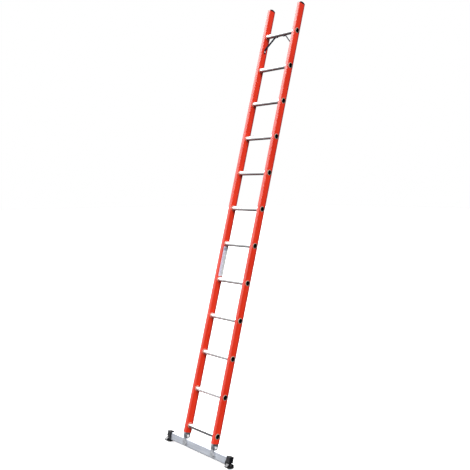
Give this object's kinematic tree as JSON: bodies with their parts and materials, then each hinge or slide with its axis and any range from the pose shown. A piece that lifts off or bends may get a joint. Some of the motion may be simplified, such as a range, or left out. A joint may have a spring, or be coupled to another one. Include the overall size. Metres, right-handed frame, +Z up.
{
  "type": "leaning ladder",
  "caption": "Single-section leaning ladder with red fibreglass box rails, round aluminium rungs and a wide stabiliser bar on swivel feet.",
  "frame": {"origin": "middle of the line where the two foot treads touch the ground, at floor level", "axes": "+X along the rungs to the climber's right, +Y from the climber towards the wall, +Z up; the rails lean 14.7 degrees from +Z towards +Y"},
  "size_m": [0.7676, 0.9432, 3.3737],
  "materials": {
    "grp_red": "smooth pultruded fibreglass, red all through",
    "rung_aluminium": "bright extruded, ribbed for grip",
    "ring_plastic": "cream-brown moulded nylon",
    "sleeve_plastic": "hidden spacer",
    "black_plastic": "black moulded plastic with a soft gloss",
    "brace_steel": "strip with a matt dark blue-black coating",
    "bracket_steel": "galvanised pressed sheet",
    "bar_aluminium": "mill finish with fine drawing lines along it",
    "fixing_steel": "zinc plated",
    "rivet_aluminium": "bright",
    "bush_plastic": "pale nylon bush",
    "tread_rubber": "grooved black rubber",
    "label_film": null
  },
  "bodies": {
    "ladder": {"rail_left": "grp_red", "rail_right": "grp_red", "rung_01": "rung_aluminium", "rung_02": "rung_aluminium", "rung_03": "rung_aluminium", "rung_04": "rung_aluminium", "rung_05": "rung_aluminium", "rung_06": "rung_aluminium", "rung_07": "rung_aluminium", "rung_08": "rung_aluminium", "rung_09": "rung_aluminium", "rung_10": "rung_aluminium", "rung_11": "rung_aluminium", "rung_12": "rung_aluminium", "rung_ferrules_left": "ring_plastic", "rung_ferrules_right": "ring_plastic", "rung_collars_left": "ring_plastic", "rung_collars_right": "ring_plastic", "rung_sleeves_left": "sleeve_plastic", "rung_sleeves_right": "sleeve_plastic", "rail_cap_left": "black_plastic", "rail_cap_right": "black_plastic", "foot_holder_left": "black_plastic", "foot_holder_right": "black_plastic", "top_brace_left": "brace_steel", "top_brace_right": "brace_steel", "bracket_left": "bracket_steel", "bracket_right": "bracket_steel", "stabiliser_bar": "bar_aluminium", "bracket_cross_bolts": "fixing_steel", "bracket_cross_nuts": "fixing_steel", "bracket_cross_washers": "fixing_steel", "bracket_cross_spacers": "fixing_steel", "bar_bolts": "fixing_steel", "bar_nuts": "fixing_steel", "bar_washers": "fixing_steel", "bar_sleeves": "fixing_steel", "foot_screws": "fixing_steel", "bar_rivets": "rivet_aluminium", "top_brace_rivets": "rivet_aluminium", "foot_bush_left": "bush_plastic", "foot_bush_right": "bush_plastic", "rail_label": "label_film"},
    "shoe_left": {"foot_shoe_left": "black_plastic", "foot_tread_left": "tread_rubber", "pivot_bolt_left": "fixing_steel", "pivot_nut_left": "fixing_steel", "pivot_washer_left": "fixing_steel"},
    "shoe_right": {"foot_shoe_right": "black_plastic", "foot_tread_right": "tread_rubber", "pivot_bolt_right": "fixing_steel", "pivot_nut_right": "fixing_steel", "pivot_washer_right": "fixing_steel"}
  },
  "joints": [
    {"name": "shoe_left_pivot", "type": "hinge", "parent": "ladder", "child": "shoe_left", "pos_m": [-0.364, -0.0122, 0.02557], "axis": [1, 0, 0], "range_deg": [-15, 15]},
    {"name": "shoe_right_pivot", "type": "hinge", "parent": "ladder", "child": "shoe_right", "pos_m": [0.364, -0.0122, 0.02557], "axis": [1, 0, 0], "range_deg": [-15, 15]}
  ]
}
